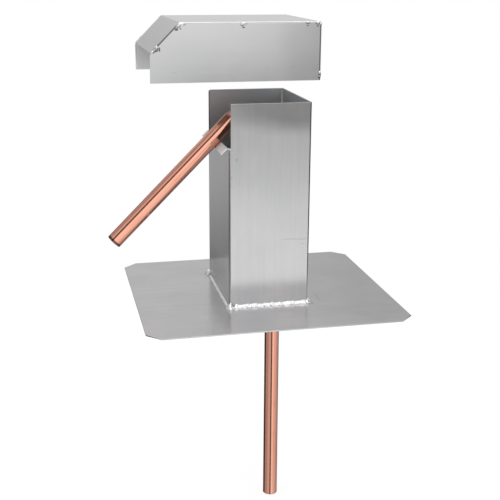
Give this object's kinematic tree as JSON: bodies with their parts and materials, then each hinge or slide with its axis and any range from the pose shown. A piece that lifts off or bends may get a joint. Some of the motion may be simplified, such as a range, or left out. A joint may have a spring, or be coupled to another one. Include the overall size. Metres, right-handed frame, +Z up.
{
  "type": "roof vent pipe housing",
  "caption": "Folded metal roof housing on a flat flange, with a hooded cover shown lifted off and a bent copper tube that rises inside and leaves over a folded sill.",
  "frame": {"origin": "middle of the tower's footprint on the underside of the flange", "axes": "+Z up out of the roof; +X along the front panel to the cover's closed end, so the tube leaves towards -X; the front panel faces -Y"},
  "size_m": [0.5352, 0.4445, 0.9652],
  "materials": {
    "mill_aluminium": "satin mill finish with faint rolling streaks",
    "weld_metal": "bright rippled weld bead",
    "copper": "clean drawn copper"
  },
  "bodies": {
    "root": {"flange_plate": "mill_aluminium", "tower": "mill_aluminium", "seam_weld": "weld_metal", "rest_weld": "weld_metal", "base_weld": "weld_metal", "cover_top": "mill_aluminium", "cover_front_side": "mill_aluminium", "cover_back_side": "mill_aluminium", "front_tack_welds": "weld_metal", "back_tack_welds": "weld_metal", "copper_tube": "copper"}
  },
  "joints": []
}
